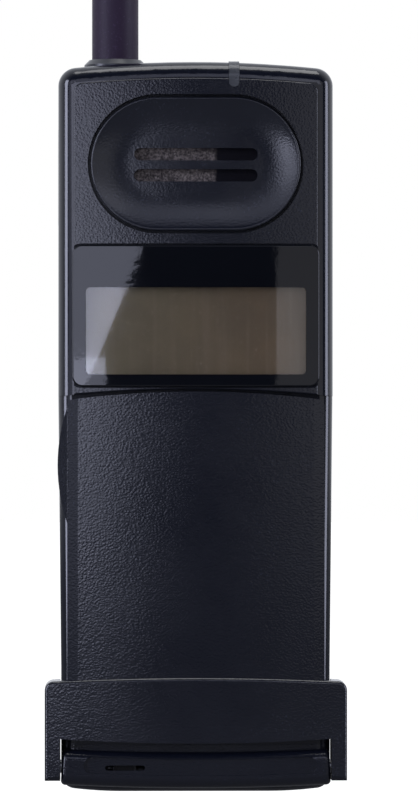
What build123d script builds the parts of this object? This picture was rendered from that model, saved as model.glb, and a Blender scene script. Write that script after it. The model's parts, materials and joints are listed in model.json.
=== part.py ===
from build123d import *
import os

os.makedirs("parts", exist_ok=True)

# Early mobile phone with a keypad flip. Millimetres, +Z up, front faces -Y, +X is right from the front.
# The origin is under the middle of the phone on the surface it stands on.

# Handset outline, seen from the front
HALF_WIDTH = 24.5            # widest, from the flip's top edge upwards
FOOT_HALF_WIDTH = 24.0       # between the hinge arms
WAIST_Z = 70.0               # the sides taper below this height
ANKLE_Z = 22.0               # and run straight again below this one
TOP_Z = 130.2                # middle of the arched top
TOP_SHOULDER_Z = 128.86      # the arch's ends
LAND_HALF_WIDTH = 13.0       # flat middle of the underside
FOOT_RISE = 0.84             # the underside curves up by this much at its ends
TOP_CORNER_R = 3.3
FOOT_CORNER_R = 2.6

# Depths, front to back
PLATEAU_Y = -12.3            # grained front panel round the earpiece
HEAD_Y = -11.95              # glossy shell round that panel
DECK_Y = -9.7                # keypad deck under the flip
PARTING_Y = 0.0
BAY_Y = 5.0                  # floor of the battery bay
HUMP_BACK_Y = 13.2           # back of the phone above the battery
BATTERY_BACK_Y = 13.5
WALL = 1.3
SEAM = 0.18                  # small chamfers where the covers and the battery's halves meet
CROWN_R = 346.0              # the front faces bulge this gently from side to side
HEAD_EDGE_R = 2.8
DECK_EDGE_R = 2.4
BACK_EDGE_R = 3.4

# Heights of the front features
HEAD_FOOT_Z = 71.85          # lower edge of the head, above the flip
HEAD_FOOT_SIDE_Z = 70.45
PLATEAU_HALF_WIDTH = 21.7
PLATEAU_TOP_Z = 127.2

# Bottom barrel and flip hinge
HINGE_Y = -9.2
HINGE_Z = 4.6
BARREL_SIZE = 6.4            # across its square section
BARREL_CORNER_R = 1.9
BARREL_BORE_R = 2.3
BARREL_HALF_LENGTH = 23.9
BARREL_SAG = 0.65            # the barrel bows down by this much in its middle
CHEEK_R = 3.75               # round end of the flip's arms
PIN_R = 1.2
PIN_CLEARANCE = 0.06

# Earpiece
EAR_Z = 111.9
EAR_POCKET = (38.5, 24.8)
EAR_INSERT = (37.4, 23.7)
EAR_DISH = (36.2, 22.5)
EAR_DISH_DEPTH = 1.5
EAR_SLOT = (22.0, 2.2)
EAR_SLOT_ZS = (113.65, 109.9)

# Display
LENS_SIZE = (44.0, 25.2)
LENS_Z = 84.9
LENS_FRONT_Y = -12.45
LENS_BACK_Y = -11.3
WINDOW_SIZE = (40.2, 16.4)
WINDOW_Z = 82.2

# Keys: columns and rows of the keypad under the flip
KEY_COLUMNS = (-13.0, 0.0, 13.0)
KEY_TOP_ROW_Z = 65.0
KEY_PITCH_Z = 8.0
KEY_SIZE = (9.6, 5.2)
KEY_GAP = 0.3
KEY_FRONT_Y = -10.35
KEY_FLANGE_Y = -8.1
KEY_BACK_Y = -7.6
MAT_FRONT_Y = -6.85
BOARD_FRONT_Y = -6.1
BOARD_BACK_Y = -5.1
KEYPAD = (
    ("call", 0, 0), ("end", 2, 0),
    ("left", 0, 1), ("clear", 1, 1), ("right", 2, 1),
    ("1", 0, 2), ("2", 1, 2), ("3", 2, 2),
    ("4", 0, 3), ("5", 1, 3), ("6", 2, 3),
    ("7", 0, 4), ("8", 1, 4), ("9", 2, 4),
    ("star", 0, 5), ("0", 1, 5), ("hash", 2, 5),
)

# Flip
FLIP_HALF_WIDTH = 22.9
FLIP_TOP_Z = 71.4
FLIP_TOP_SIDE_Z = 69.9
FLIP_FRONT_Y = -12.7
FLIP_SPLIT_Y = -11.5
FLIP_BACK_Y = -10.8
FLIP_TAB_Y = -11.62          # front of the finger tab at the left edge
FLIP_FOOT_Z = 12.0
FLIP_LIP = (0.9, -9.95)      # width of the side lips, and the depth they reach back to
FLIP_BEVEL = (1.9, 0.5)      # across and deep, along both sides of the panel
YOKE_HALF_WIDTH = 26.9
YOKE_INNER_HALF = 24.15
YOKE_FRONT_Y = -13.5
YOKE_TOP_Z = 20.6
YOKE_TOP_SIDE_Z = 19.8
YOKE_WINDOW_Z = 8.9
YOKE_WINDOW_SIDE_Z = 9.65
YOKE_FOOT_Z = 2.2

# Antenna
ANTENNA_X = -14.3
ANTENNA_Y = 4.8
ANTENNA_R = 4.2
ANTENNA_TOP_Z = 160.0
COLLAR_R = 5.6
COLLAR_FOOT_Z = 129.4
COLLAR_TOP_Z = 131.4
STUD_R = 2.6
STUD_FOOT_Z = 121.5

# Battery, its pivot bead at the lower back, and its latch
BATTERY_FOOT_Z = 5.7
BATTERY_TOP_Z = 92.6
BATTERY_FRONT_Y = 5.35
BATTERY_SPLIT_Y = 7.0
BATTERY_PIVOT_R = 1.5
BAY_TOP_Z = 93.0
FOOT_TOP_Z = 5.2
LATCH_HALF_WIDTH = 6.0
LATCH_Z = (95.0, 101.0)
LATCH_TRAVEL = 2.0

# SIM card and its recess in the battery bay
CARD_SIZE = (15.0, 25.0, 0.8)
CARD_FOOT_Z = 20.5
CARD_Y = 2.85
RECESS_HALF_WIDTH = 10.0
RECESS_Z = (17.0, 63.5)
RECESS_FLOOR_Y = 2.2

# Indicator light
LIGHT_X = 6.8
LIGHT_WIDTH = 1.85
LIGHT_FOOT_Z = 125.6
LIGHT_TOP_Z = 130.3

SCREW_PLACES = ((-20.6, 14.0), (20.6, 14.0), (-20.6, 67.6), (20.6, 67.6))
MIC_X = -12.6
MIC_Z = 4.15
ROCKER_Z = (101.0, 119.0)
ROCKER_OUT = 24.6            # how far from the middle the rocker's face stands
FAR = 60.0


def prism(sketch, y_front, y_back):
    """A front-view sketch made solid between two depths."""
    return extrude(Plane.XZ.offset(-y_back) * sketch, y_back - y_front)


def side_prism(sketch, x_low, x_high):
    """A side-view sketch (Y across, Z up) made solid between two X places."""
    return extrude(Plane.YZ.offset(x_low) * sketch, x_high - x_low)


def block(x_range, y_range, z_range):
    """A box between three pairs of limits."""
    size = [r[1] - r[0] for r in (x_range, y_range, z_range)]
    middle = [(r[1] + r[0]) / 2 for r in (x_range, y_range, z_range)]
    return Pos(*middle) * Box(*size)


def rod(radius, y_front, y_back, x, z):
    """A round rod that runs front to back."""
    return prism(Pos(x, z) * Circle(radius), y_front, y_back)


def post(radius, z_low, z_high, x, y):
    """A round rod that stands upright."""
    return Pos(x, y, (z_low + z_high) / 2) * Cylinder(radius, z_high - z_low)


def stadium(size, x, z):
    """A slot shape with fully round ends, in the front view."""
    return Pos(x, z) * SlotOverall(size[0], size[1])


def edges_in_plane(solid, axis, place):
    """The solid's edges that lie wholly at one place along an axis."""
    return solid.edges().filter_by_position(axis, place - 0.01, place + 0.01)


def crowned(solid, front_y):
    """The solid with its front face bulged: deepest at front_y in the middle, set back at the sides."""
    return solid & Pos(0, front_y + CROWN_R, 0) * Cylinder(CROWN_R, 4 * TOP_Z)


def front_edges(solid):
    """The edges round the foremost face."""
    return solid.faces().sort_by(Axis.Y)[0].edges()


def arched(half_width, z_middle, z_side, z_other):
    """A front-view panel with one arched edge and one straight edge."""
    arch = ThreePointArc((-half_width, z_side), (0, z_middle), (half_width, z_side))
    sides = Polyline((half_width, z_side), (half_width, z_other), (-half_width, z_other), (-half_width, z_side))
    return make_face(arch + sides)


def body_outline():
    """The handset from the front: arched top, tapering sides, softly curved underside."""
    right_foot = TangentArc((LAND_HALF_WIDTH, 0), (FOOT_HALF_WIDTH, FOOT_RISE), tangent=(1, 0))
    side = ((FOOT_HALF_WIDTH, FOOT_RISE), (FOOT_HALF_WIDTH, ANKLE_Z), (HALF_WIDTH, WAIST_Z), (HALF_WIDTH, TOP_SHOULDER_Z))
    right_side = Polyline(*side)
    top = ThreePointArc((HALF_WIDTH, TOP_SHOULDER_Z), (0, TOP_Z), (-HALF_WIDTH, TOP_SHOULDER_Z))
    left_side = Polyline(*[(-x, z) for x, z in side])
    left_foot = TangentArc((-LAND_HALF_WIDTH, 0), (-FOOT_HALF_WIDTH, FOOT_RISE), tangent=(-1, 0))
    land = Line((-LAND_HALF_WIDTH, 0), (LAND_HALF_WIDTH, 0))
    face = make_face(land + right_foot + right_side + top + left_side + left_foot)
    top_corners = face.vertices().filter_by_position(Axis.Y, TOP_SHOULDER_Z - 0.1, TOP_SHOULDER_Z + 0.1)
    face = fillet(top_corners, TOP_CORNER_R)
    foot_corners = face.vertices().filter_by_position(Axis.Y, FOOT_RISE - 0.1, FOOT_RISE + 0.1)
    return fillet(foot_corners, FOOT_CORNER_R)


def above(half_width, z_middle, z_side):
    """Everything over an arched line, in the front view."""
    return arched(half_width, z_middle, z_side, TOP_Z + FAR)


def band(z_low, z_high):
    """Everything between two heights, in the front view."""
    return Pos(0, (z_low + z_high) / 2) * Rectangle(2 * FAR, z_high - z_low)


def barrel(section, half_length):
    """The bottom bar of a given section, bowed down in its middle."""
    path = ThreePointArc(
        (-half_length, HINGE_Y, HINGE_Z),
        (0, HINGE_Y, HINGE_Z - BARREL_SAG),
        (half_length, HINGE_Y, HINGE_Z),
    )
    return sweep(Plane(origin=path @ 0, z_dir=path % 0) * section, path)


def key_place(column, row):
    return KEY_COLUMNS[column], KEY_TOP_ROW_Z - row * KEY_PITCH_Z


def antenna_clearance():
    """The seat and the hole in the top of the covers for the antenna's foot."""
    seat = post(COLLAR_R + 0.3, COLLAR_FOOT_Z - 0.3, TOP_Z + FAR, ANTENNA_X, ANTENNA_Y)
    return seat + post(STUD_R + 1.1, STUD_FOOT_Z - 2, TOP_Z + FAR, ANTENNA_X, ANTENNA_Y)


def connector_clearance():
    return block((-9.2, 9.2), (-4.2, 1.2), (-FAR, 7.0))


def front_cover():
    outline = body_outline()
    deck = prism(outline, DECK_Y, PARTING_Y)
    deck = fillet(edges_in_plane(deck, Axis.Y, DECK_Y), DECK_EDGE_R)
    deck = chamfer(edges_in_plane(deck, Axis.Y, PARTING_Y), SEAM)
    head_sketch = outline & above(HALF_WIDTH + 1, HEAD_FOOT_Z, HEAD_FOOT_SIDE_Z)
    head = crowned(prism(head_sketch, HEAD_Y - 1, -2 * SEAM), HEAD_Y)
    head = fillet(front_edges(head).filter_by(lambda edge: edge.center().Z > HEAD_FOOT_Z + 1), HEAD_EDGE_R)
    panel_sketch = arched(PLATEAU_HALF_WIDTH, PLATEAU_TOP_Z, PLATEAU_TOP_Z - 1.0, HEAD_FOOT_Z - 4)
    panel_corners = panel_sketch.vertices().filter_by_position(Axis.Y, PLATEAU_TOP_Z - 1.5, PLATEAU_TOP_Z)
    panel_sketch = fillet(panel_corners, 1.6) & above(HALF_WIDTH + 1, HEAD_FOOT_Z, HEAD_FOOT_SIDE_Z)
    panel = crowned(prism(panel_sketch, PLATEAU_Y - 1, HEAD_Y + 1.2), PLATEAU_Y)
    panel = fillet(front_edges(panel), 0.25)
    chin = barrel(RectangleRounded(BARREL_SIZE, BARREL_SIZE, BARREL_CORNER_R), BARREL_HALF_LENGTH)
    chin_ends = chin.faces().sort_by(Axis.X)
    chin = fillet(chin_ends[0].edges() + chin_ends[-1].edges(), 0.8)
    cover = deck + head + panel + chin
    cover -= block((-FAR, FAR), (-FAR, FAR), (-FAR, 0))

    cavity = prism(Pos(0, 100.5) * RectangleRounded(45.6, 55.0, 1.0), HEAD_Y + WALL, PARTING_Y)
    cavity += prism(Pos(0, 42.0) * RectangleRounded(45.0, 65.0, 2.0), DECK_Y + WALL, PARTING_Y)
    cavity += block((-21.0, 21.0), (-5.5, PARTING_Y), (1.5, 12.0))
    cover -= cavity
    cover -= barrel(Circle(BARREL_BORE_R), 21.5)
    cover += prism(stadium((41.0, 27.0), 0, EAR_Z), HEAD_Y + WALL - 0.2, -9.4)
    for x, z in SCREW_PLACES:
        cover += rod(2.2, DECK_Y + 0.5, PARTING_Y, x, z)
        cover -= rod(0.86, DECK_Y + 1.6, PARTING_Y, x, z)

    cover -= prism(stadium(EAR_POCKET, 0, EAR_Z), -FAR, -10.3)
    cover -= prism(stadium((35.6, 21.9), 0, EAR_Z), -FAR, -9.0)
    lens_pocket = Pos(0, LENS_Z) * RectangleRounded(LENS_SIZE[0] + 0.5, LENS_SIZE[1] + 0.5, 1.7)
    cover -= prism(lens_pocket, -FAR, LENS_BACK_Y)
    cover -= prism(Pos(0, WINDOW_Z) * RectangleRounded(*WINDOW_SIZE, 0.8), -FAR, -10.0)
    for name, column, row in KEYPAD:
        x, z = key_place(column, row)
        cover -= prism(stadium((KEY_SIZE[0] + 2 * KEY_GAP, KEY_SIZE[1] + 2 * KEY_GAP), x, z), -FAR, DECK_Y + 2)
    bar_recess = ThreePointArc((-18.5, 4.95), (0.8, 4.5), (20.1, 4.95))
    cover -= prism(SlotArc(bar_recess, 2.9), -FAR, -11.95)
    cover -= prism(stadium((7.1, 0.9), MIC_X, MIC_Z + 0.3), -FAR, HINGE_Y)
    for side in (-1, 1):
        cover -= Pos(side * 22.3, HINGE_Y, HINGE_Z) * Rot(0, 90, 0) * Cylinder(PIN_R, 4.0)
    cover -= antenna_clearance()
    cover -= connector_clearance()
    cover -= light_pipe_blank(0.05)
    return cover


def rear_cover():
    outline = body_outline()
    tray = prism(outline, PARTING_Y, BAY_Y)
    tray = chamfer(edges_in_plane(tray, Axis.Y, PARTING_Y), SEAM)
    hump = prism(outline & band(BAY_TOP_Z, TOP_Z + FAR), 2 * SEAM, HUMP_BACK_Y)
    hump_back = edges_in_plane(hump, Axis.Y, HUMP_BACK_Y)
    hump = fillet(hump_back.filter_by(lambda edge: edge.center().Z > BAY_TOP_Z + 1), BACK_EDGE_R)
    foot = prism(outline & band(0, FOOT_TOP_Z), 2 * SEAM, HUMP_BACK_Y - 0.3)
    foot_back = edges_in_plane(foot, Axis.Y, HUMP_BACK_Y - 0.3)
    foot = fillet(foot_back.filter_by(lambda edge: edge.center().Z < FOOT_TOP_Z - 0.1), 1.4)
    cover = tray + hump + foot

    cover -= prism(Pos(0, 65.0) * RectangleRounded(45.6, 126.0, 2.5), PARTING_Y, BAY_Y - WALL)
    cover -= prism(Pos(0, 111.6) * RectangleRounded(43.0, 33.6, 2.5), PARTING_Y, HUMP_BACK_Y - WALL - 1.5)
    cover += block((-RECESS_HALF_WIDTH - 1, RECESS_HALF_WIDTH + 1), (1.0, BAY_Y - 0.5), (16.0, 64.5))
    cover -= block((-RECESS_HALF_WIDTH, RECESS_HALF_WIDTH), (RECESS_FLOOR_Y, FAR), RECESS_Z)
    for x, z in SCREW_PLACES:
        cover += rod(2.6, 1.6, BAY_Y - 0.2, x, z)
        cover -= rod(2.0, 3.3, FAR, x, z)
        cover -= rod(0.95, PARTING_Y, FAR, x, z)
    cover -= block((-7.0, 7.0), (HUMP_BACK_Y - 1.9, FAR), (LATCH_Z[0] - 0.4, LATCH_Z[1] + LATCH_TRAVEL + 1.6))
    cover -= block((-FAR, -22.4), (0.9, 5.5), (ROCKER_Z[0] - 0.35, ROCKER_Z[1] + 0.35))
    for step in range(4):
        x = -6.0 + 4.0 * step
        cover -= block((x - 0.65, x + 0.65), (PARTING_Y, BAY_Y + 1), (84.0, 88.0))
    cover -= antenna_clearance()
    cover -= connector_clearance()
    return cover


def light_pipe_blank(margin):
    """Clear plastic that runs down the front and over the top edge, round at its lower end."""
    half = LIGHT_WIDTH / 2 + margin
    low = LIGHT_FOOT_Z + LIGHT_WIDTH / 2
    strip = Pos(LIGHT_X, (low + LIGHT_TOP_Z) / 2) * Rectangle(2 * half, LIGHT_TOP_Z - low)
    strip += Pos(LIGHT_X, low) * Circle(half)
    front = PLATEAU_Y - 0.15
    length = prism(strip, front, -8.5 + margin)
    profile = Pos((front - 8.0) / 2, (LIGHT_TOP_Z + 120) / 2) * Rectangle(-8.0 - front, LIGHT_TOP_Z - 120)
    corner = profile.vertices().sort_by(Axis.Y)[-2:].sort_by(Axis.X)[0]
    return length & side_prism(fillet(corner, 2.9), LIGHT_X - 3, LIGHT_X + 3)


def earpiece_grille():
    rim = crowned(prism(stadium(EAR_INSERT, 0, EAR_Z), PLATEAU_Y - 1, -10.35), PLATEAU_Y + 0.05)
    rim = fillet(front_edges(rim), 0.2)
    neck = prism(stadium((35.2, 21.5), 0, EAR_Z), -10.4, -9.5)
    dish_face = Plane.XZ.offset(-PLATEAU_Y - 0.05) * stadium(EAR_DISH, 0, EAR_Z)
    dish = extrude(dish_face, -EAR_DISH_DEPTH, taper=48)
    dish = fillet(edges_in_plane(dish, Axis.Y, PLATEAU_Y + 0.05 + EAR_DISH_DEPTH), 2.0)
    grille = rim + neck - dish
    for z in EAR_SLOT_ZS:
        grille -= prism(stadium(EAR_SLOT, 0, z), -FAR, -9.0)
    return grille


def display_lens():
    sketch = Pos(0, LENS_Z) * RectangleRounded(*LENS_SIZE, 1.5)
    lens = crowned(prism(sketch, LENS_FRONT_Y - 1, LENS_BACK_Y), LENS_FRONT_Y)
    return fillet(front_edges(lens), 0.2)


def keypad_mat():
    mat = prism(Pos(0, 45.0) * RectangleRounded(35.6, 47.0, 1.5), MAT_FRONT_Y + 0.3, BOARD_FRONT_Y)
    for name, column, row in KEYPAD:
        x, z = key_place(column, row)
        mat += rod(2.2, MAT_FRONT_Y, MAT_FRONT_Y + 0.4, x, z)
    return mat


def key(column, row):
    """A key cap with its flange behind the cover; its front edge is softly rounded."""
    x, z = key_place(column, row)
    cap = prism(stadium(KEY_SIZE, x, z), KEY_FRONT_Y, KEY_FLANGE_Y)
    cap = fillet(edges_in_plane(cap, Axis.Y, KEY_FRONT_Y), 0.45)
    flange = prism(stadium((KEY_SIZE[0] + 1.6, KEY_SIZE[1] + 1.6), x, z), KEY_FLANGE_Y, KEY_BACK_Y)
    return cap + flange


def main_board():
    board = prism(Pos(0, 67.55) * RectangleRounded(35.6, 115.9, 1.5), BOARD_FRONT_Y, BOARD_BACK_Y)
    return board - rod(7.7, -FAR, FAR, 0, EAR_Z)


def shield_can(x, z, width, height):
    can = prism(Pos(x, z) * RectangleRounded(width, height, 1.0), BOARD_BACK_Y, -1.6)
    return can - prism(Pos(x, z) * RectangleRounded(width - 0.6, height - 0.6, 0.8), BOARD_BACK_Y, -1.9)


def lcd_frame():
    outer = prism(Pos(0, WINDOW_Z) * RectangleRounded(42.4, 18.1, 1.0), -10.6, BOARD_FRONT_Y)
    return outer - prism(Pos(0, WINDOW_Z) * RectangleRounded(40.8, 16.9, 0.6), -11.0, -5.0)


def hinge_pins():
    pin = Rot(0, 90, 0) * Cylinder(PIN_R, 6.0)
    return Compound(children=[Pos(side * 23.0, HINGE_Y, HINGE_Z) * pin for side in (-1, 1)])


def hinge_springs():
    """A split ring round each pin's inner end, which holds the flip by friction."""
    ring = Rot(0, 90, 0) * (Cylinder(1.9, 1.1) - Cylinder(PIN_R, 2.0)) - Pos(0, 2, 0) * Box(2, 3, 0.6)
    return Compound(children=[Pos(side * 20.75, HINGE_Y, HINGE_Z) * ring for side in (-1, 1)])


def case_screws():
    screws = []
    for x, z in SCREW_PLACES:
        head = rod(1.8, 3.35, 4.5, x, z) - block((x - 1.2, x + 1.2), (4.0, 5.0), (z - 0.25, z + 0.25))
        screws.append(head + rod(0.8, -7.0, 3.4, x, z))
    return Compound(children=screws)


def system_connector():
    shell = block((-9.0, 9.0), (-4.0, 1.0), (0.6, 6.8))
    shell = fillet(shell.edges().filter_by(Axis.Z), 0.8)
    return shell - block((-7.6, 7.6), (-2.6, -0.6), (0.0, 5.2))


def connector_contacts():
    blades = []
    for step in range(10):
        x = -6.3 + 1.4 * step
        blades.append(block((x - 0.3, x + 0.3), (-1.8, -1.4), (1.4, 5.2)))
    return Compound(children=blades)


def sim_reader():
    half = CARD_SIZE[0] / 2
    base = block((-half - 1.3, half + 1.3), (RECESS_FLOOR_Y, CARD_Y - 0.25), (18.0, 34.0))
    for side in (-1, 1):
        inner = side * (half + 0.3)
        outer = side * (half + 1.3)
        base += block((min(inner, outer), max(inner, outer)), (RECESS_FLOOR_Y, 4.4), (18.0, 34.0))
    base += block((-half - 1.3, half + 1.3), (4.0, 4.4), (23.0, 30.0))
    return base


def sim_card():
    low = CARD_FOOT_Z
    sketch = Pos(0, low + CARD_SIZE[1] / 2) * RectangleRounded(CARD_SIZE[0], CARD_SIZE[1], 1.0)
    card = prism(sketch, CARD_Y, CARD_Y + CARD_SIZE[2])
    corner = Pos(CARD_SIZE[0] / 2, CARD_Y, low) * Rot(0, 45, 0) * Box(4.2, 4.0, 4.2)
    return card - corner


def phone_battery_contacts():
    blades = []
    for step in range(4):
        x = -6.0 + 4.0 * step
        blades.append(block((x - 0.6, x + 0.6), (3.2, BAY_Y + 0.05), (84.5, 87.5)))
    return Compound(children=blades)


def latch_spring():
    """A bowed leaf between the latch and the top of its recess."""
    bow = ThreePointArc((-4.0, 102.9), (0, 101.6), (4.0, 102.9))
    return prism(SlotArc(bow, 0.3), 12.0, 12.7)


def battery_latch():
    button = block((-LATCH_HALF_WIDTH, LATCH_HALF_WIDTH), (HUMP_BACK_Y - 1.5, HUMP_BACK_Y + 0.2), LATCH_Z)
    button = fillet(edges_in_plane(button, Axis.Y, HUMP_BACK_Y + 0.2), 0.4)
    for step in range(4):
        z = LATCH_Z[0] + 1.5 + step * 1.0
        button -= block((-4.6, 4.6), (HUMP_BACK_Y, FAR), (z - 0.2, z + 0.2))
    return button


def flip_face(y_front, y_back):
    """The flip's panel outline between two depths, down into the yoke."""
    sketch = arched(FLIP_HALF_WIDTH, FLIP_TOP_Z, FLIP_TOP_SIDE_Z, FLIP_FOOT_Z)
    top_corners = sketch.vertices().filter_by_position(Axis.Y, FLIP_TOP_SIDE_Z - 0.1, FLIP_TOP_SIDE_Z + 0.1)
    return prism(fillet(top_corners, 1.2), y_front, y_back)


def flip_panel():
    edge = FLIP_HALF_WIDTH
    flat = FLIP_HALF_WIDTH - FLIP_BEVEL[0]
    shoulder_y = FLIP_FRONT_Y + flat ** 2 / (2 * CROWN_R)
    section = make_face(Polyline(
        (-edge, FLIP_SPLIT_Y), (-edge, shoulder_y + FLIP_BEVEL[1]), (-flat, shoulder_y), (-flat, -FAR),
        (flat, -FAR), (flat, shoulder_y), (edge, shoulder_y + FLIP_BEVEL[1]), (edge, FLIP_SPLIT_Y),
        (-edge, FLIP_SPLIT_Y),
    ))
    panel = crowned(flip_face(FLIP_FRONT_Y - 1, FLIP_SPLIT_Y), FLIP_FRONT_Y) & extrude(section, 2 * FAR)
    tab = make_face(
        ThreePointArc((-22.4, 70.0), (-24.6, 57.6), (-22.4, 46.6))
        + Polyline((-22.4, 46.6), (-21.0, 50.0), (-21.0, 66.0), (-22.4, 70.0))
    )
    thick_tab = tab & Pos(-FAR - FLIP_HALF_WIDTH, 0) * Rectangle(2 * FAR, 4 * FAR)
    return panel + prism(tab, FLIP_TAB_Y, FLIP_SPLIT_Y) + prism(thick_tab, FLIP_TAB_Y, FLIP_BACK_Y - 0.1)


def flip_liner():
    """The flip's inner skin, with a low lip down each side that closes the gap over the keys."""
    liner = flip_face(FLIP_SPLIT_Y, FLIP_BACK_Y)
    for side in (-1, 1):
        lip = Pos(side * (FLIP_HALF_WIDTH - FLIP_LIP[0] / 2), 44.9) * Rectangle(FLIP_LIP[0], 48.0)
        liner += prism(lip, FLIP_BACK_Y - 0.1, FLIP_LIP[1])
    return liner


def flip_yoke():
    front = arched(YOKE_HALF_WIDTH, YOKE_TOP_Z, YOKE_TOP_SIDE_Z, YOKE_FOOT_Z)
    top_corners = front.vertices().filter_by_position(Axis.Y, YOKE_TOP_SIDE_Z - 0.1, YOKE_TOP_SIDE_Z + 0.1)
    yoke = crowned(prism(fillet(top_corners, 1.6), YOKE_FRONT_Y - 1, HINGE_Y + CHEEK_R), YOKE_FRONT_Y)
    yoke = fillet(front_edges(yoke).filter_by(lambda edge: edge.center().Z > YOKE_FOOT_Z + 0.1), 0.6)
    cheek = make_face(Polyline(
        (YOKE_FRONT_Y, FAR), (YOKE_FRONT_Y, YOKE_WINDOW_Z - 0.4), (HINGE_Y - CHEEK_R, HINGE_Z),
        (HINGE_Y + CHEEK_R, HINGE_Z), (HINGE_Y + CHEEK_R, FAR), (YOKE_FRONT_Y, FAR),
    )) + Pos(HINGE_Y, HINGE_Z) * Circle(CHEEK_R)
    yoke &= side_prism(cheek, -FAR, FAR)
    yoke -= block((-YOKE_INNER_HALF, YOKE_INNER_HALF), (FLIP_BACK_Y, FAR), (-FAR, FAR))
    window = arched(YOKE_INNER_HALF, YOKE_WINDOW_Z, YOKE_WINDOW_SIDE_Z, -FAR)
    yoke -= prism(window, -FAR, FAR)
    yoke -= Pos(0, HINGE_Y, HINGE_Z) * Rot(0, 90, 0) * Cylinder(5.3, 2 * YOKE_INNER_HALF)
    yoke -= crowned(flip_face(FLIP_FRONT_Y - 1, FLIP_BACK_Y), FLIP_FRONT_Y)
    for side in (-1, 1):
        yoke -= Pos(side * 24.2, HINGE_Y, HINGE_Z) * Rot(0, 90, 0) * Cylinder(PIN_R + PIN_CLEARANCE, 3.9)
    return yoke


def antenna_sheath():
    tube = post(ANTENNA_R, COLLAR_TOP_Z - 0.4, ANTENNA_TOP_Z, ANTENNA_X, ANTENNA_Y)
    tube = fillet(edges_in_plane(tube, Axis.Z, ANTENNA_TOP_Z), 3.0)
    return tube - post(2.5, 0, ANTENNA_TOP_Z - 3.0, ANTENNA_X, ANTENNA_Y)


def antenna_base():
    collar = post(COLLAR_R, COLLAR_FOOT_Z, COLLAR_TOP_Z, ANTENNA_X, ANTENNA_Y)
    collar = chamfer(edges_in_plane(collar, Axis.Z, COLLAR_TOP_Z), 0.9)
    collar -= post(ANTENNA_R, COLLAR_TOP_Z - 0.4, FAR * 3, ANTENNA_X, ANTENNA_Y)
    return collar + post(STUD_R, STUD_FOOT_Z, COLLAR_FOOT_Z + 0.1, ANTENNA_X, ANTENNA_Y)


def antenna_coil():
    coil = post(1.6, COLLAR_TOP_Z - 0.4, ANTENNA_TOP_Z - 3.5, ANTENNA_X, ANTENNA_Y)
    for turn in range(8):
        z = COLLAR_TOP_Z + 2.0 + 2.6 * turn
        coil += post(2.3, z, z + 0.9, ANTENNA_X, ANTENNA_Y)
    return coil


def antenna_socket():
    bush = post(STUD_R + 1.0, STUD_FOOT_Z - 1.2, COLLAR_FOOT_Z - 0.6, ANTENNA_X, ANTENNA_Y)
    return bush - post(STUD_R + 0.08, STUD_FOOT_Z - 0.3, FAR * 3, ANTENNA_X, ANTENNA_Y)


def battery_shell(y_front, y_back):
    return prism(body_outline() & band(BATTERY_FOOT_Z, BATTERY_TOP_Z), y_front, y_back)


def battery_lid():
    lid = battery_shell(BATTERY_SPLIT_Y, BATTERY_BACK_Y)
    lid = fillet(edges_in_plane(lid, Axis.Y, BATTERY_BACK_Y), BATTERY_PIVOT_R)
    lid = chamfer(edges_in_plane(lid, Axis.Y, BATTERY_SPLIT_Y), SEAM)
    inside = Pos(0, (BATTERY_FOOT_Z + BATTERY_TOP_Z) / 2) * RectangleRounded(45.2, 84.0, 1.5)
    return lid - prism(inside, 0, BATTERY_BACK_Y - WALL)


def battery_case():
    case = battery_shell(BATTERY_FRONT_Y, BATTERY_SPLIT_Y)
    case = chamfer(edges_in_plane(case, Axis.Y, BATTERY_SPLIT_Y), SEAM)
    front_foot = edges_in_plane(case, Axis.Y, BATTERY_FRONT_Y)
    case = chamfer(front_foot.filter_by(lambda edge: edge.center().Z < BATTERY_FOOT_Z + 0.1), 0.9)
    for step in range(4):
        x = -6.0 + 4.0 * step
        case -= block((x - 1.1, x + 1.1), (0, BATTERY_FRONT_Y + 0.5), (83.5, 88.5))
    return case


def battery_cells():
    """Five flat cells side by side in the pack."""
    cells = []
    for step in range(5):
        z = 15.4 + 16.8 * step
        sketch = Pos(0, z) * RectangleRounded(44.0, 15.6, 2.2)
        cells.append(prism(sketch, BATTERY_SPLIT_Y + 0.2, BATTERY_BACK_Y - WALL - 0.2))
    return Compound(children=cells)


def battery_contacts():
    pads = []
    for step in range(4):
        x = -6.0 + 4.0 * step
        pads.append(block((x - 1.0, x + 1.0), (BATTERY_FRONT_Y + 0.1, BATTERY_FRONT_Y + 0.5), (83.7, 88.3)))
    return Compound(children=pads)


def volume_rocker():
    rocker = block((-ROCKER_OUT, -23.0), (1.2, 5.2), ROCKER_Z)
    rocker = fillet(rocker.edges().filter_by(Axis.X), 1.6)
    return fillet(edges_in_plane(rocker, Axis.X, -ROCKER_OUT), 0.3)


def ring(outer, inner, y_front, y_back, x, z):
    return rod(outer, y_front, y_back, x, z) - rod(inner, y_front - 1, y_back + 1, x, z)


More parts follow.
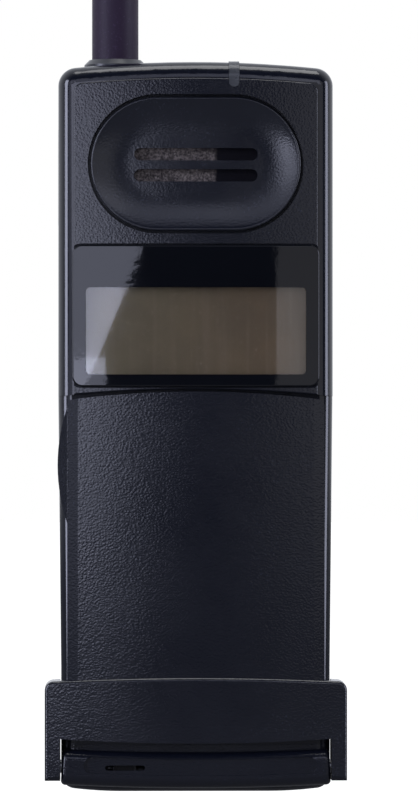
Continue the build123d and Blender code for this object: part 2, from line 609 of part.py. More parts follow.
nodes = {
    "front_cover": front_cover(),
    "rear_cover": rear_cover(),
    "earpiece_grille": earpiece_grille(),
    "earpiece_mesh": prism(stadium((25.0, 8.0), 0, 111.8), -9.5, -9.2),
    "earpiece_gasket": ring(7.6, 6.0, -9.1, -8.6, 0, EAR_Z),
    "earpiece_speaker": rod(7.6, -8.6, -5.2, 0, EAR_Z),
    "display_lens": display_lens(),
    "lcd_module": prism(Pos(0, WINDOW_Z) * RectangleRounded(40.4, 16.6, 0.5), -10.6, -9.4),
    "lcd_backlight": prism(Pos(0, WINDOW_Z) * RectangleRounded(40.4, 16.6, 0.5), -9.3, -7.9),
    "lcd_frame": lcd_frame(),
    "main_board": main_board(),
    "radio_shield_can": shield_can(0, 92.0, 33.0, 20.0),
    "logic_shield_can": shield_can(0, 42.0, 33.0, 44.0),
    "keypad_mat": keypad_mat(),
    "hinge_pins": hinge_pins(),
    "hinge_springs": hinge_springs(),
    "antenna_socket": antenna_socket(),
    "antenna_contact": block((-16.3, -12.3), (-5.1, 3.0), (119.6, 119.9)),
    "indicator_light_pipe": light_pipe_blank(0.0),
    "indicator_led": block((LIGHT_X - 0.8, LIGHT_X + 0.8), (-8.2, -6.3), (124.0, 125.4)),
    "microphone": rod(1.6, HINGE_Y - 0.8, HINGE_Y + 0.7, MIC_X, MIC_Z),
    "microphone_boot": ring(2.0, 1.65, HINGE_Y - 0.8, HINGE_Y + 0.8, MIC_X, MIC_Z),
    "system_connector": system_connector(),
    "connector_contacts": connector_contacts(),
    "buzzer": rod(5.0, BOARD_BACK_Y, -2.0, 10.0, 72.0),
    "sim_reader": sim_reader(),
    "phone_battery_contacts": phone_battery_contacts(),
    "case_screws": case_screws(),
    "latch_spring": latch_spring(),
    "battery_latch": battery_latch(),
    "volume_rocker": volume_rocker(),
    "flip_panel": flip_panel(),
    "flip_liner": flip_liner(),
    "flip_yoke": flip_yoke(),
    "antenna_sheath": antenna_sheath(),
    "antenna_base": antenna_base(),
    "antenna_coil": antenna_coil(),
    "sim_card": sim_card(),
    "battery_case": battery_case(),
    "battery_lid": battery_lid(),
    "battery_cells": battery_cells(),
    "battery_contacts": battery_contacts(),
}
for key_name, key_column, key_row in KEYPAD:
    nodes["key_" + key_name] = key(key_column, key_row)

for name, shape in nodes.items():
    export_step(shape, "parts/" + name + ".step")
    print(name, round(shape.volume, 2))
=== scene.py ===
"""Studio scene for an early mobile phone with a keypad flip. Metres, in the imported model's frame."""
import json
import math

import bmesh
import bpy
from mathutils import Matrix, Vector

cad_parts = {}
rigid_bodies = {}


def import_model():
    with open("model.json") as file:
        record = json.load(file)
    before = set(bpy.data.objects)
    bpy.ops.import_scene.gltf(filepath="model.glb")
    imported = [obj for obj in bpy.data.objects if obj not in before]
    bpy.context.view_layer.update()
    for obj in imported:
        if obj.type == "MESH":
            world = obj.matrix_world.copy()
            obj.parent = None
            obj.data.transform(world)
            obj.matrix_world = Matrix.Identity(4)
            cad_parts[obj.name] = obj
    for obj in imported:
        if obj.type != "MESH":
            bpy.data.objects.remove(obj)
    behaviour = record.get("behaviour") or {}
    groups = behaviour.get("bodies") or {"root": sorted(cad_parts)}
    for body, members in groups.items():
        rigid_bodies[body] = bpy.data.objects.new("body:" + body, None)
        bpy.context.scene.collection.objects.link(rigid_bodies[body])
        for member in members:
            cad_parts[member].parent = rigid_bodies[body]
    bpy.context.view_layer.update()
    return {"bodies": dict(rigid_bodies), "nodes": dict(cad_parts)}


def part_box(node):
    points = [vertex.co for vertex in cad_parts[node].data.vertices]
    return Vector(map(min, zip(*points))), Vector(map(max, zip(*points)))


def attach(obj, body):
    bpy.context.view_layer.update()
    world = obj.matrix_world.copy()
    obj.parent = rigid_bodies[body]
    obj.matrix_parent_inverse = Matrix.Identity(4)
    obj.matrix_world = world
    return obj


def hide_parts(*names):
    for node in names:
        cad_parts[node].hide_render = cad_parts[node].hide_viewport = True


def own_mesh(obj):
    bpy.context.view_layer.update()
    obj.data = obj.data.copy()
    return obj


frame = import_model()
MM = 0.001

# Camera: a long lens, level with the middle of the phone and slightly to its left
CAMERA_DISTANCE = 0.9
CAMERA_HEIGHT = 69.9 * MM
CAMERA_TURN = -1.1
VIEW_HEIGHT = 144.2 * MM        # what the picture's height spans at the phone's middle depth
CAMERA_SHIFT = 0.0179
SENSOR = 36.0
FLOOR_Z = -0.05                 # low enough for the open flip, which swings below the phone's foot

CROWN_R = 346.0 * MM            # the front faces bulge with this radius from side to side
PANEL_Y = -12.3 * MM            # middle of the grained front panel
PANEL_HALF_WIDTH = 21.7 * MM
PANEL_STEP = (0.24 * MM, 0.30 * MM)     # the grain fades out between these depths behind the panel's face
GRAIN_FADE = 0.1 * MM
BAR_TOP_Z = 8.6 * MM            # top of the grained bottom bar
TAB_EDGE_X = (-22.95 * MM, -22.75 * MM)     # where the flip's smooth finger tab meets its grained face


# ---------------------------------------------------------------- camera, light and floor

def make_camera():
    data = bpy.data.cameras.new("camera")
    data.sensor_width = SENSOR
    data.sensor_fit = "AUTO"
    data.lens = SENSOR * CAMERA_DISTANCE / VIEW_HEIGHT
    data.shift_x = CAMERA_SHIFT
    data.clip_start = 0.05
    data.clip_end = 20.0
    camera = bpy.data.objects.new("camera", data)
    turn = math.radians(CAMERA_TURN)
    offset = Vector((math.sin(turn), -math.cos(turn), 0)) * CAMERA_DISTANCE
    camera.location = offset + Vector((0, 0, CAMERA_HEIGHT))
    camera.rotation_euler = (-offset).to_track_quat("-Z", "Y").to_euler()
    bpy.context.scene.collection.objects.link(camera)
    bpy.context.scene.camera = camera


def soft_box(name, place, target, size, radiance, tint=(1.0, 1.0, 1.0), roll=0.0):
    """A soft rectangular lamp of even brightness that faces its target; roll turns it in its own plane."""
    data = bpy.data.lights.new(name, "AREA")
    data.shape = "RECTANGLE"
    data.size, data.size_y = size
    data.energy = radiance * math.pi * size[0] * size[1]
    data.color = tint
    lamp = bpy.data.objects.new(name, data)
    lamp.location = place
    aim = (Vector(target) - Vector(place)).to_track_quat("-Z", "Y")
    lamp.rotation_euler = aim.to_euler()
    lamp.rotation_euler.rotate_axis("Z", math.radians(roll))
    lamp.visible_camera = False
    bpy.context.scene.collection.objects.link(lamp)


def make_world():
    """White where the camera looks past the phone; for reflections, bright behind it and dark in front."""
    world = bpy.data.worlds.new("studio")
    bpy.context.scene.world = world
    world.use_nodes = True
    tree = world.node_tree
    tree.nodes.clear()
    out = tree.nodes.new("ShaderNodeOutputWorld")
    seen = tree.nodes.new("ShaderNodeBackground")
    seen.inputs["Color"].default_value = (1, 1, 1, 1)
    lit = tree.nodes.new("ShaderNodeBackground")
    lit.inputs["Color"].default_value = (0.95, 0.98, 1.06, 1)
    direction = tree.nodes.new("ShaderNodeTexCoord")
    split = tree.nodes.new("ShaderNodeSeparateXYZ")
    tree.links.new(direction.outputs["Generated"], split.inputs[0])
    ramp = tree.nodes.new("ShaderNodeMapRange")
    for key, value in (("From Min", -0.72), ("From Max", 0.45), ("To Min", 0.018), ("To Max", 0.95)):
        ramp.inputs[key].default_value = value
    ramp.interpolation_type = "SMOOTHSTEP"
    tree.links.new(split.outputs["Y"], ramp.inputs["Value"])
    tree.links.new(ramp.outputs[0], lit.inputs["Strength"])
    mix = tree.nodes.new("ShaderNodeMixShader")
    path = tree.nodes.new("ShaderNodeLightPath")
    tree.links.new(path.outputs["Is Camera Ray"], mix.inputs[0])
    tree.links.new(lit.outputs[0], mix.inputs[1])
    tree.links.new(seen.outputs[0], mix.inputs[2])
    tree.links.new(mix.outputs[0], out.inputs["Surface"])


def make_stage():
    """A round pale floor, as white as the background, that throws only a little light back up."""
    mesh = bpy.data.meshes.new("floor")
    shape = bmesh.new()
    bmesh.ops.create_circle(shape, cap_ends=True, segments=96, radius=4.0)
    shape.to_mesh(mesh)
    shape.free()
    floor = bpy.data.objects.new("floor", mesh)
    floor.location.z = FLOOR_Z
    bpy.context.scene.collection.objects.link(floor)
    mat = bpy.data.materials.new("floor")
    mat.use_nodes = True
    tree = mat.node_tree
    shader = tree.nodes["Principled BSDF"]
    shader.inputs["Base Color"].default_value = (0.15, 0.15, 0.15, 1)
    shader.inputs["Roughness"].default_value = 0.9
    shader.inputs["Specular IOR Level"].default_value = 0.1
    glow = tree.nodes.new("ShaderNodeEmission")
    path = tree.nodes.new("ShaderNodeLightPath")
    add = tree.nodes.new("ShaderNodeAddShader")
    tree.links.new(path.outputs["Is Camera Ray"], glow.inputs["Strength"])
    tree.links.new(shader.outputs[0], add.inputs[0])
    tree.links.new(glow.outputs[0], add.inputs[1])
    tree.links.new(add.outputs[0], tree.nodes["Material Output"].inputs["Surface"])
    mesh.materials.append(mat)


def make_lights():
    """Boxes far out on both sides, bright and dim cards on either side of the camera, and a top box."""
    cool = (0.90, 0.94, 1.20)
    soft_box("card_high", (-0.224, -0.905, 0.163), (-0.224, 0, 0.163), (0.24, 0.26), 2.2, cool, roll=34.3)
    soft_box("card_low", (-0.178, -0.90, 0.045), (-0.178, 0, 0.045), (0.16, 0.08), 2.2, cool)
    soft_box("card_right", (0.47, -0.90, 0.25), (0.47, 0, 0.25), (0.70, 0.49), 0.45, (0.98, 0.98, 1.06))
    soft_box("front_high", (0.0, -0.86, 0.42), (0, 0, 0.11), (0.90, 0.22), 0.75, cool)
    soft_box("fill_left", (-0.47, -0.78, 0.22), (0, 0, 0.10), (0.26, 0.45), 0.6, cool)
    soft_box("side_left", (-0.70, -0.42, 0.22), (0, 0, 0.08), (0.30, 0.60), 6.0, cool)
    soft_box("side_right", (0.76, -0.24, 0.15), (0, 0, 0.08), (0.30, 0.60), 4.0, cool)
    soft_box("top", (0.05, -0.10, 0.85), (0, 0, 0.06), (0.45, 0.35), 3.0)


# ---------------------------------------------------------------- materials

class Mat:
    """A node material round one Principled shader, with helpers that add and link nodes."""

    def __init__(self, name, color, roughness, metallic=0.0, specular=0.5):
        self.mat = bpy.data.materials.new(name)
        self.mat.use_nodes = True
        self.tree = self.mat.node_tree
        self.shader = self.tree.nodes["Principled BSDF"]
        self.shader.inputs["Base Color"].default_value = (*color, 1)
        self.shader.inputs["Roughness"].default_value = roughness
        self.shader.inputs["Metallic"].default_value = metallic
        self.shader.inputs["Specular IOR Level"].default_value = specular
        self.coords = self.tree.nodes.new("ShaderNodeTexCoord").outputs["Object"]

    def node(self, kind, **values):
        made = self.tree.nodes.new(kind)
        for key, value in values.items():
            setattr(made, key, value)
        return made

    def link(self, source, target):
        self.tree.links.new(source, target)

    def stretched(self, x, y, z):
        """The object's coordinates scaled along each axis, for streaks."""
        made = self.node("ShaderNodeMapping")
        made.inputs["Scale"].default_value = (x, y, z)
        self.link(self.coords, made.inputs["Vector"])
        return made.outputs[0]

    def noise(self, scale, detail=3.0, rough=0.55, vector=None):
        made = self.node("ShaderNodeTexNoise")
        made.inputs["Scale"].default_value = scale
        made.inputs["Detail"].default_value = detail
        made.inputs["Roughness"].default_value = rough
        self.link(vector or self.coords, made.inputs["Vector"])
        return made.outputs["Fac"]

    def cells(self, scale, feature="SMOOTH_F1", vector=None):
        made = self.node("ShaderNodeTexVoronoi", feature=feature)
        made.inputs["Scale"].default_value = scale
        if feature == "SMOOTH_F1":
            made.inputs["Smoothness"].default_value = 0.35
        self.link(vector or self.coords, made.inputs["Vector"])
        return made.outputs["Distance"]

    def math(self, operation, a, b=0.0, c=0.0):
        made = self.node("ShaderNodeMath", operation=operation)
        for socket, value in zip(made.inputs, (a, b, c)):
            if isinstance(value, (int, float)):
                socket.default_value = value
            else:
                self.link(value, socket)
        return made.outputs[0]

    def remap(self, value, low, high, to_low, to_high):
        made = self.node("ShaderNodeMapRange")
        self.link(value, made.inputs["Value"])
        for key, number in (("From Min", low), ("From Max", high), ("To Min", to_low), ("To Max", to_high)):
            made.inputs[key].default_value = number
        return made.outputs[0]

    def mix_color(self, factor, a, b):
        made = self.node("ShaderNodeMix", data_type="RGBA")
        self.link(factor, made.inputs["Factor"])
        for socket, value in ((made.inputs[6], a), (made.inputs[7], b)):
            if isinstance(value, tuple):
                socket.default_value = (*value, 1)
            else:
                self.link(value, socket)
        return made.outputs[2]

    def paint(self, color):
        self.link(color, self.shader.inputs["Base Color"])

    def gloss(self, roughness):
        self.link(roughness, self.shader.inputs["Roughness"])

    def bump(self, height, distance, normal=None):
        made = self.node("ShaderNodeBump")
        made.inputs["Distance"].default_value = distance
        self.link(height, made.inputs["Height"])
        if normal:
            self.link(normal, made.inputs["Normal"])
        self.link(made.outputs[0], self.shader.inputs["Normal"])

    def position(self, axis):
        split = self.node("ShaderNodeSeparateXYZ")
        self.link(self.coords, split.inputs[0])
        return split.outputs[axis]

    def depth_below_crown(self, front):
        """How far a point lies behind the bulged front surface whose middle is at this depth."""
        x = self.position("X")
        set_back = self.math("MULTIPLY", self.math("MULTIPLY", x, x), 0.5 / CROWN_R)
        return self.math("SUBTRACT", self.math("SUBTRACT", self.position("Y"), set_back), front)


INK = (0.0058, 0.0072, 0.0135)
PLASTIC_SPECULAR = 0.65
PEBBLE = 2500.0
GRAIN_DEPTH = 0.011 * MM


def pebble_height(mat, scale=PEBBLE):
    """Rounded leather-like pebbles of uneven size."""
    wobble = mat.node("ShaderNodeTexNoise")
    wobble.inputs["Scale"].default_value = scale * 0.6
    mat.link(mat.coords, wobble.inputs["Vector"])
    shifted = mat.node("ShaderNodeVectorMath", operation="MULTIPLY_ADD")
    mat.link(wobble.outputs["Color"], shifted.inputs[0])
    shifted.inputs[1].default_value = (0.5 / scale,) * 3
    mat.link(mat.coords, shifted.inputs[2])
    cell = mat.cells(scale, vector=shifted.outputs[0])
    pebble = mat.remap(cell, 0.05, 0.75, 1.0, 0.0)
    return mat.math("ADD", pebble, mat.math("MULTIPLY", mat.noise(scale * 2.2, 2.0), 0.3))


def dusty_ink(mat, color, amount=1.0):
    """The plastic's colour with pale dust in scattered patches."""
    patches = mat.noise(55.0, 4.0)
    dust = mat.noise(2600.0, 3.0)
    in_patches = mat.remap(patches, 0.42, 0.7, 0.1, 1.0)
    share = mat.math("MULTIPLY", in_patches, mat.remap(dust, 0.58, 0.74, 0.0, amount))
    dusty = tuple(c * 2.5 + 0.012 for c in color)
    mat.paint(mat.mix_color(share, color, dusty))
    return patches


def grained_plastic(name, color=INK, rough=0.16, depth=GRAIN_DEPTH, scale=PEBBLE,
                    specular=PLASTIC_SPECULAR):
    """Black plastic with a moulded pebble grain, a little dust and uneven handling polish."""
    mat = Mat(name, color, rough, specular=specular)
    mat.bump(pebble_height(mat, scale), depth)
    patches = dusty_ink(mat, color)
    mat.gloss(mat.remap(patches, 0.3, 0.7, rough - 0.04, rough + 0.06))
    return mat


def smooth_plastic(name, color, rough, wear=0.05, specular=0.5):
    """Smooth moulded plastic with faint unevenness and handling marks."""
    mat = Mat(name, color, rough, specular=specular)
    smudge = mat.noise(120.0, 5.0)
    mat.gloss(mat.remap(smudge, 0.3, 0.7, max(rough - wear, 0.02), rough + wear))
    mat.paint(mat.mix_color(mat.remap(mat.noise(45.0, 3.0), 0.35, 0.7, 0, 1), color,
                            tuple(c * 1.25 + 0.001 for c in color)))
    mat.bump(mat.noise(600.0, 3.0), 0.004 * MM)
    return mat


def brushed_metal(name, color, rough):
    mat = Mat(name, color, rough, metallic=1.0)
    lines = mat.noise(900.0, 2.0, 0.5, mat.stretched(1.0, 1.0, 12.0))
    mat.gloss(mat.remap(lines, 0.3, 0.7, rough - 0.08, rough + 0.1))
    mat.paint(mat.mix_color(mat.noise(80.0, 3.0), color, tuple(c * 0.8 for c in color)))
    mat.bump(lines, 0.003 * MM)
    return mat


def shell_plastic():
    """The front shell: glossy flanks, and a pebble grain on the raised panel and the bottom bar."""
    mat = Mat("shell_plastic", INK, 0.14, specular=PLASTIC_SPECULAR)
    side = mat.math("ABSOLUTE", mat.position("X"))
    on_face = mat.remap(mat.depth_below_crown(PANEL_Y), PANEL_STEP[1], PANEL_STEP[0], 0, 1)
    inside = mat.remap(side, PANEL_HALF_WIDTH, PANEL_HALF_WIDTH - GRAIN_FADE, 0, 1)
    on_panel = mat.math("MULTIPLY", on_face, inside)
    on_bar = mat.remap(mat.position("Z"), BAR_TOP_Z, BAR_TOP_Z - 3 * GRAIN_FADE, 0, 1)
    grain = mat.math("MAXIMUM", on_panel, on_bar)
    mat.bump(mat.math("MULTIPLY", pebble_height(mat), grain), GRAIN_DEPTH)
    patches = dusty_ink(mat, INK, 0.8)
    flank = mat.remap(patches, 0.3, 0.7, 0.11, 0.17)
    mat.gloss(mat.math("MULTIPLY_ADD", grain, 0.03, flank))
    return mat


def flip_plastic():
    """The flip's skin: grained on its face, and smooth on the finger tab at its left edge."""
    mat = Mat("flip_plastic", INK, 0.16, specular=PLASTIC_SPECULAR)
    face = mat.remap(mat.position("X"), *TAB_EDGE_X, 0, 1)
    mat.bump(mat.math("MULTIPLY", pebble_height(mat), face), GRAIN_DEPTH)
    patches = dusty_ink(mat, INK)
    mat.gloss(mat.remap(patches, 0.3, 0.7, 0.13, 0.2))
    return mat


def felt():
    """Brown-grey felt, dusty on the left and clean and dark to the right of where the dust stops."""
    mat = Mat("felt", (0.05, 0.042, 0.04), 0.95, specular=0.2)
    fibres = mat.noise(2400.0, 6.0, 0.75)
    clumps = mat.noise(900.0, 4.0, 0.6)
    dusty = mat.mix_color(mat.remap(fibres, 0.38, 0.64, 0, 1), (0.02, 0.017, 0.02), (0.30, 0.26, 0.24))
    thinned = mat.mix_color(mat.remap(clumps, 0.36, 0.56, 0.25, 1.0), (0.03, 0.025, 0.026), dusty)
    edge = mat.math("MULTIPLY_ADD", clumps, 0.9 * MM, mat.position("X"))
    mat.paint(mat.mix_color(mat.remap(edge, 3.7 * MM, 4.3 * MM, 0, 1), thinned, (0.006, 0.0055, 0.009)))
    mat.bump(fibres, 0.12 * MM)
    return mat


def circuit_board():
    mat = Mat("board", (0.01, 0.09, 0.04), 0.35)
    tracks = mat.cells(600.0, "F1")
    mat.paint(mat.mix_color(mat.remap(tracks, 0.2, 0.5, 0, 1), (0.02, 0.14, 0.06), (0.01, 0.07, 0.03)))
    mat.bump(tracks, 0.02 * MM)
    return mat


def display_film():
    """The unlit display: a grey-brown film, greener at the left, with fine upright streaks and specks of
    dust. Its gloss follows the lens's bulge, so both show the same reflection."""
    mat = Mat("display_film", (0.11, 0.09, 0.07), 0.04)
    warmth = mat.remap(mat.position("X"), -16.0 * MM, 12.0 * MM, 0, 1)
    base = mat.mix_color(warmth, (0.122, 0.106, 0.068), (0.118, 0.086, 0.053))
    cloud = mat.mix_color(mat.remap(mat.noise(140.0, 4.0), 0.35, 0.68, 0, 0.5), base, (0.085, 0.068, 0.047))
    streaks = mat.noise(700.0, 2.0, 0.5, mat.stretched(1.0, 1.0, 0.04))
    lined = mat.mix_color(mat.remap(streaks, 0.5, 0.75, 0, 0.45), cloud, (0.15, 0.12, 0.085))
    specks = mat.remap(mat.noise(2100.0, 2.0), 0.70, 0.76, 0, 0.7)
    mat.paint(mat.mix_color(specks, lined, (0.3, 0.26, 0.2)))
    mat.gloss(mat.remap(mat.noise(500.0, 3.0), 0.3, 0.7, 0.03, 0.08))
    tilt = mat.node("ShaderNodeCombineXYZ")
    mat.link(mat.math("MULTIPLY", mat.position("X"), 1 / CROWN_R), tilt.inputs["X"])
    geometry = mat.node("ShaderNodeNewGeometry")
    bulged = mat.node("ShaderNodeVectorMath", operation="ADD")
    mat.link(geometry.outputs["Normal"], bulged.inputs[0])
    mat.link(tilt.outputs[0], bulged.inputs[1])
    unit = mat.node("ShaderNodeVectorMath", operation="NORMALIZE")
    mat.link(bulged.outputs[0], unit.inputs[0])
    mat.bump(streaks, 0.001 * MM, unit.outputs[0])
    return mat


def clear_plastic(name, tint, rough=0.12, transmission=0.75):
    """See-through plastic; light passes it on its way to what lies behind."""
    mat = Mat(name, tint, rough)
    mat.shader.inputs["Transmission Weight"].default_value = transmission
    mat.shader.inputs["IOR"].default_value = 1.49
    mat.gloss(mat.remap(mat.noise(300.0, 3.0), 0.3, 0.7, rough * 0.6, rough * 1.6))
    clear = mat.node("ShaderNodeBsdfTransparent")
    mat.paint(mat.mix_color(mat.noise(200.0, 2.0), tint, tuple(c * 0.97 for c in tint)))
    mix = mat.node("ShaderNodeMixShader")
    mat.link(mat.node("ShaderNodeLightPath").outputs["Is Shadow Ray"], mix.inputs[0])
    mat.link(mat.shader.outputs[0], mix.inputs[1])
    mat.link(clear.outputs[0], mix.inputs[2])
    mat.link(mix.outputs[0], mat.tree.nodes["Material Output"].inputs["Surface"])
    return mat


def paint_node(material, *nodes):
    """Gives CAD nodes a finish."""
    for name in nodes:
        target = frame["nodes"][name]
        target.data.materials.clear()
        target.data.materials.append(material.mat)


def paint_nodes(black_grain, steel):
    paint_node(shell_plastic(), "front_cover")
    paint_node(flip_plastic(), "flip_panel")
    paint_node(black_grain, "flip_yoke", "rear_cover", "battery_lid")
    paint_node(smooth_plastic("satin_black", (0.011, 0.0125, 0.019), 0.33), "flip_liner", "battery_case",
               "battery_latch", "lcd_frame", "system_connector", "volume_rocker")
    paint_node(smooth_plastic("collar_plastic", (0.018, 0.019, 0.026), 0.3), "antenna_base")
    paint_node(smooth_plastic("key_plastic", (0.03, 0.031, 0.037), 0.4),
               *[name for name in frame["nodes"] if name.startswith("key_")])
    paint_node(grained_plastic("antenna_rubber", (0.023, 0.0115, 0.032), 0.5, 0.008 * MM, 1500.0, 0.28),
               "antenna_sheath")
    paint_node(felt(), "earpiece_mesh")
    paint_node(smooth_plastic("rubber", (0.02, 0.02, 0.02), 0.7), "earpiece_gasket", "microphone_boot",
               "keypad_mat")
    paint_node(brushed_metal("dark_can", (0.03, 0.03, 0.03), 0.5), "microphone")
    paint_node(brushed_metal("tinned", (0.62, 0.62, 0.6), 0.35), "radio_shield_can", "logic_shield_can",
               "sim_reader", "earpiece_speaker", "buzzer", "battery_cells")
    paint_node(steel, "hinge_pins", "hinge_springs", "case_screws", "antenna_contact")
    paint_node(brushed_metal("gold", (0.85, 0.6, 0.25), 0.3), "antenna_socket", "connector_contacts",
               "phone_battery_contacts", "battery_contacts", "antenna_coil")
    paint_node(circuit_board(), "main_board")
    paint_node(display_film(), "lcd_module")
    paint_node(clear_plastic("pipe_plastic", (0.09, 0.095, 0.105), 0.2, 0.3), "indicator_light_pipe",
               "indicator_led")
    paint_node(smooth_plastic("diffuser", (0.5, 0.5, 0.46), 0.5), "lcd_backlight")
    paint_node(smooth_plastic("card_white", (0.7, 0.7, 0.66), 0.35), "sim_card")


# ---------------------------------------------------------------- mesh helpers

def crown(x):
    """How far the bulged front faces are set back at a distance from the middle."""
    return x * x / (2 * CROWN_R)


def rounded_ring(half_width, half_height, radius, corner_steps=12, straight_steps=28):
    """Round a rounded rectangle in the front view: along the bottom to the right, then back along the top.
    Each point at the bottom has one straight above it at the top."""
    columns = []
    for step in range(corner_steps + 1):
        angle = math.radians(90 * step / corner_steps)
        across, down = 1 - math.cos(angle), 1 - math.sin(angle)
        columns.append((-half_width + radius * across, half_height - radius * down))
    inner = half_width - radius
    straight = [(-inner + 2 * inner * step / straight_steps, half_height)
                for step in range(1, straight_steps)]
    columns += straight + [(-x, z) for x, z in reversed(columns)]
    return [(x, -z) for x, z in columns] + [(x, z) for x, z in reversed(columns)]


def placed(ring, z_middle, depth):
    """A front-view ring as 3-D points; depth is a number or gives the depth for each x."""
    return [(x, depth(x) if callable(depth) else depth, z_middle + z) for x, z in ring]


def loft(name, rings, closed=False):
    """A solid through rings of equal length, capped with upright strips, or joined end to end as a frame."""
    shape = bmesh.new()
    rows = [[shape.verts.new(point) for point in ring] for ring in rings]
    count = len(rows[0])
    pairs = list(zip(rows, rows[1:])) + ([(rows[-1], rows[0])] if closed else [])
    for low, high in pairs:
        for i in range(count):
            j = (i + 1) % count
            shape.faces.new((low[i], low[j], high[j], high[i]))
    for row in () if closed else (rows[0], rows[-1]):
        for i in range(count // 2 - 1):
            shape.faces.new((row[i], row[i + 1], row[count - 2 - i], row[count - 1 - i]))
    bmesh.ops.recalc_face_normals(shape, faces=shape.faces)
    mesh = bpy.data.meshes.new(name)
    shape.to_mesh(mesh)
    shape.free()
    return mesh


def linked(name, mesh):
    made = bpy.data.objects.new(name, mesh)
    bpy.context.scene.collection.objects.link(made)
    return made


def finished(piece, material, body, replaced=(), sharp_angle=38):
    """Shades a piece, gives it its finish and lets it ride on its CAD body."""
    piece.data.shade_smooth()
    piece.data.set_sharp_from_angle(angle=math.radians(sharp_angle))
    piece.data.materials.clear()
    piece.data.materials.append(material.mat)
    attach(piece, body)
    if replaced:
        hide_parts(*replaced)


def cut_away(piece, cutter):
    """Takes the cutter's shape out of the piece."""
    tool = piece.modifiers.new("cut", "BOOLEAN")
    tool.operation = "DIFFERENCE"
    tool.solver = "EXACT"
    tool.object = cutter
    bpy.context.view_layer.update()
    made = bpy.data.meshes.new_from_object(piece.evaluated_get(bpy.context.evaluated_depsgraph_get()))
    piece.modifiers.clear()
    piece.data = made
    bpy.data.objects.remove(cutter)


# ---------------------------------------------------------------- earpiece, lens and key markings

DISH_DEPTH = 0.85 * MM
DISH_WALL = 6.5 * MM             # over this distance the scoop falls to its floor
DISH_RIM = 0.45 * MM
DISH_SKIRT = 1.6 * MM            # how deep the outside wall is drawn before the back
DISH_BACK = 2.55 * MM
DISH_STEPS = 30
EDGE_ROUND = ((0, 0.16 * MM), (0.05 * MM, 0.05 * MM), (0.15 * MM, 0))      # inset and depth round an edge
SLOT_SIZE = (22.0 * MM, 2.2 * MM)
SLOT_ZS = (113.65 * MM, 109.9 * MM)


def make_earpiece(material):
    """A scooped stadium with a narrow rim and two slots through its floor."""
    low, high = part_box("earpiece_grille")
    middle = (low.z + high.z) / 2
    half_width, half_height = (high.x - low.x) / 2, (high.z - low.z) / 2
    face = low.y

    def ring(inset, behind):
        inner = half_height - inset
        return placed(rounded_ring(half_width - inset, inner, inner * 0.995), middle,
                      lambda x: face + behind + crown(x))

    rings = [ring(0, DISH_SKIRT)] + [ring(*turn) for turn in EDGE_ROUND]
    rings += [ring(DISH_RIM - 0.13 * MM, 0), ring(DISH_RIM, 0.05 * MM)]
    reach = half_height - DISH_RIM
    for step in range(1, DISH_STEPS):
        inward = reach * step / DISH_STEPS
        fall = 1 - (1 - min(inward / DISH_WALL, 1)) ** 2
        rings.append(ring(DISH_RIM + inward, 0.05 * MM + DISH_DEPTH * fall))
    dish = linked("earpiece_dish", loft("earpiece_dish", rings[::-1] + [ring(0, DISH_BACK)]))
    for z in SLOT_ZS:
        shape = rounded_ring(SLOT_SIZE[0] / 2, SLOT_SIZE[1] / 2, SLOT_SIZE[1] / 2 * 0.98, 8, 8)
        cutter = loft("slot", [placed(shape, z, face - 1 * MM), placed(shape, z, face + 6 * MM)])
        cut_away(dish, linked("slot", cutter))
    finished(dish, material, "handset", ["earpiece_grille"])


LENS_CORNER = 1.75 * MM
LENS_EDGE = 0.22 * MM
LENS_THICKNESS = 0.52 * MM
LENS_FACE_STEPS = 10
VIEW_SIZE = (39.2 * MM, 15.5 * MM)
VIEW_Z = 82.2 * MM
VIEW_CORNER = 0.8 * MM


def make_lens():
    """The display lens in two moulded parts with one bulged face: a black border and a clear window."""
    low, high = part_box("display_lens")
    middle = (low.z + high.z) / 2
    half_width, half_height = (high.x - low.x) / 2, (high.z - low.z) / 2

    def front(x):
        return low.y + crown(x)

    def back(x):
        return min(front(x) + LENS_THICKNESS, high.y - 0.01 * MM)

    def edge(inset, behind):
        shape = rounded_ring(half_width - inset, half_height - inset, LENS_CORNER - inset)
        return placed(shape, middle, lambda x: front(x) + behind)

    view = rounded_ring(VIEW_SIZE[0] / 2, VIEW_SIZE[1] / 2, VIEW_CORNER)

    def between(inner, outer, share):
        """A ring on the bulged face, part of the way from one ring on it to another."""
        mixed = [(a[0] + (b[0] - a[0]) * share, a[2] + (b[2] - a[2]) * share) for a, b in zip(inner, outer)]
        return placed(mixed, 0, front)

    outside = placed(rounded_ring(half_width, half_height, LENS_CORNER), middle, high.y - 0.01 * MM)
    face_rings = [between(placed(view, VIEW_Z, front), edge(LENS_EDGE * 1.3, 0), step / LENS_FACE_STEPS)
                  for step in range(LENS_FACE_STEPS + 1)]
    rounding = [edge(LENS_EDGE, 0), edge(LENS_EDGE * 0.35, LENS_EDGE * 0.3), edge(0, LENS_EDGE)]
    rings = [placed(view, VIEW_Z, back), *face_rings, *rounding, outside]
    border = linked("lens_border", loft("lens_border", rings, closed=True))
    finished(border, smooth_plastic("lens_ink", (0.0035, 0.0042, 0.0065), 0.03, 0.01), "handset",
             ["display_lens"])
    pane = loft("lens_window", [placed(view, VIEW_Z, front), placed(view, VIEW_Z, back)])
    window = linked("lens_window", pane)
    finished(window, clear_plastic("window_plastic", (0.97, 0.97, 0.96), 0.02, 1.0), "handset")


KEY_LETTERS = {"2": "ABC", "3": "DEF", "4": "GHI", "5": "JKL", "6": "MNO", "7": "PQRS", "8": "TUV",
               "9": "WXYZ"}
KEY_SIGNS = {"star": "*", "hash": "#", "clear": "C", "left": "<", "right": ">"}
PRINT_THICKNESS = 0.02 * MM
SIGN_HEIGHT = 3.4 * MM
SIGN_SHIFT = 1.9 * MM            # the digit moves left where letters follow it
LETTER_HEIGHT = 1.5 * MM
LETTER_SHIFT = 1.5 * MM


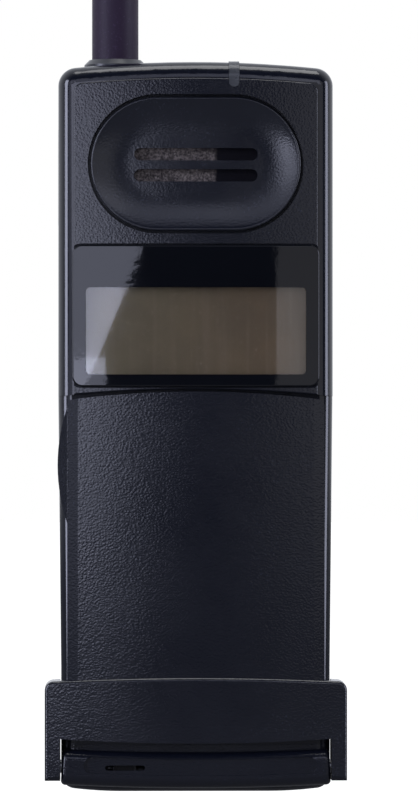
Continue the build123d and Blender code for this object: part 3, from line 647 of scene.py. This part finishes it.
def printed_text(name, words, height, x, y, z):
    """Flat lettering in the front view, centred on a point."""
    curve = bpy.data.curves.new(name, "FONT")
    curve.body = words
    curve.size = height
    curve.align_x = "CENTER"
    curve.align_y = "CENTER"
    curve.extrude = PRINT_THICKNESS / 2
    curve.resolution_u = 4
    holder = linked(name, curve)
    bpy.context.view_layer.update()
    mesh = bpy.data.meshes.new_from_object(holder.evaluated_get(bpy.context.evaluated_depsgraph_get()))
    bpy.data.objects.remove(holder)
    for vertex in mesh.vertices:
        vertex.co = (x + vertex.co.x, y + vertex.co.z, z + vertex.co.y)
    mesh.flip_normals()
    return linked(name, mesh)


def make_key_markings():
    white = smooth_plastic("key_print", (0.62, 0.62, 0.58), 0.5)
    green = smooth_plastic("call_print", (0.03, 0.32, 0.09), 0.5)
    red = smooth_plastic("end_print", (0.5, 0.03, 0.02), 0.5)
    for name in [body for body in frame["bodies"] if body.startswith("key_")]:
        low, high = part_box(name)
        middle = (low + high) / 2
        face = low.y - PRINT_THICKNESS / 2
        kind = name[len("key_"):]
        if kind in ("call", "end"):
            shape = rounded_ring(2.2 * MM, 0.5 * MM, 0.45 * MM, 6, 4)
            bar = loft("mark_" + kind, [placed(shape, middle.z, face - PRINT_THICKNESS / 2),
                                        placed(shape, middle.z, face + PRINT_THICKNESS / 2)])
            finished(linked("mark_" + kind, bar), green if kind == "call" else red, name)
            continue
        letters = KEY_LETTERS.get(kind)
        shift = SIGN_SHIFT if letters else 0
        words = KEY_SIGNS.get(kind, kind)
        sign = printed_text("mark_" + kind, words, SIGN_HEIGHT, middle.x - shift, face, middle.z)
        finished(sign, white, name)
        if letters:
            small = printed_text("letters_" + kind, letters, LETTER_HEIGHT, middle.x + LETTER_SHIFT, face,
                                 middle.z)
            finished(small, white, name)


def make_latch_leaf(material):
    """The latch's spring as a copy of its CAD node with its own mesh; it keeps its shape as the latch
    slides.
    """
    leaf = linked("latch_leaf", frame["nodes"]["latch_spring"].data.copy())
    finished(leaf, material, "handset", ["latch_spring"])
    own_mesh(leaf)


make_camera()
make_world()
make_stage()
make_lights()
steel = brushed_metal("steel", (0.5, 0.5, 0.52), 0.3)
paint_nodes(grained_plastic("black_grain"), steel)
make_earpiece(grained_plastic("dish_plastic", rough=0.17, depth=0.008 * MM))
make_lens()
make_key_markings()
make_latch_leaf(steel)
bpy.context.scene.view_settings.view_transform = "Standard"
